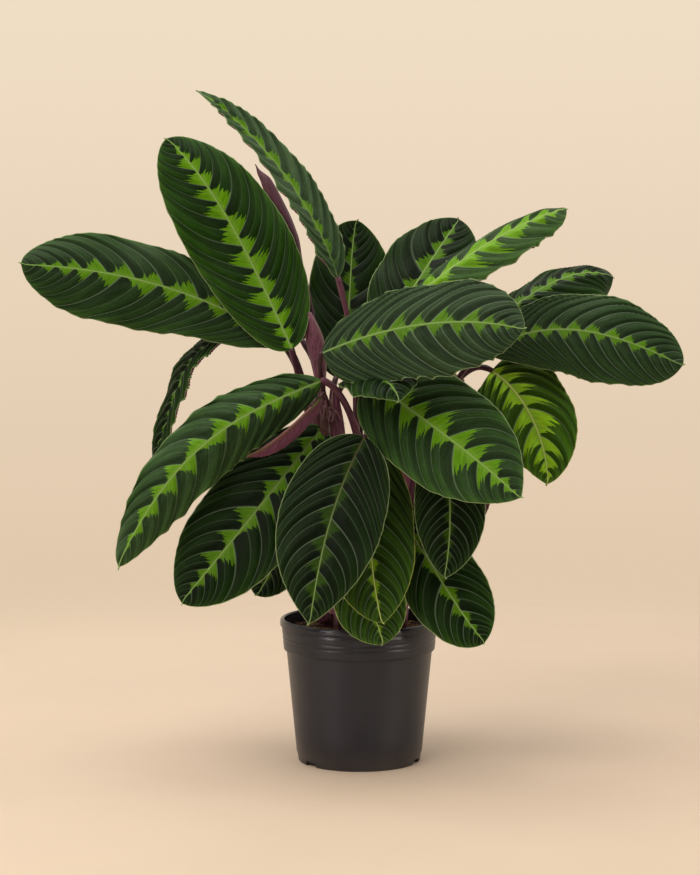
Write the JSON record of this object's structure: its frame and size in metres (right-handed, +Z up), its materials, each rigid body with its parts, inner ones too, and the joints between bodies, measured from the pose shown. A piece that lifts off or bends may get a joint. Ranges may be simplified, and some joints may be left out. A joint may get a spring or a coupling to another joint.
{
  "type": "potted calathea",
  "caption": "Leafy house plant with patterned oval blades on long stalks, rooted in soil in a plain round nursery pot.",
  "frame": {"origin": "middle of the pot's underside, on the surface that the pot stands on", "axes": "+Z up along the pot's axis; -Y towards someone who faces the plant's best side; +X to that person's right"},
  "size_m": [0.7004, 0.4212, 0.7146],
  "materials": {
    "pot_plastic": "satin charcoal polypropylene, thermoformed",
    "soil": "matt, crumbly, moist peat with bark",
    "leaf": "velvety dark green with a light green centre",
    "leaf_underside": "satin wine purple",
    "stalk": "satin maroon with mauve sheaths"
  },
  "bodies": {
    "root": {"pot": "pot_plastic", "soil": "soil", "shoot_left": "stalk", "shoot_front": "stalk", "shoot_middle": "stalk", "shoot_right": "stalk", "shoot_back": "stalk", "blade_top_left": "leaf", "blade_far_left": "leaf", "blade_top_middle": "leaf", "blade_back_upright": "leaf", "blade_back_right": "leaf", "blade_upper_right": "leaf", "blade_centre_right": "leaf", "blade_under_centre": "leaf", "blade_lower_right": "leaf", "blade_right_low": "leaf", "blade_far_right": "leaf", "blade_right_back": "leaf", "blade_left_low": "leaf", "blade_curled": "leaf_underside", "blade_low_left": "leaf", "blade_front": "leaf", "blade_front_green": "leaf", "blade_front_small": "leaf", "blade_right_mid": "leaf", "blade_right_bottom": "leaf", "blade_left_hanging": "leaf", "blade_behind_left": "leaf", "blade_back_left": "leaf", "blade_back_middle": "leaf", "blade_back_high_left": "leaf", "blade_back_high_right": "leaf", "blade_back_low_left": "leaf", "blade_back_low": "leaf", "blade_back_right_low": "leaf", "furled_leaf": "leaf_underside"}
  },
  "joints": []
}
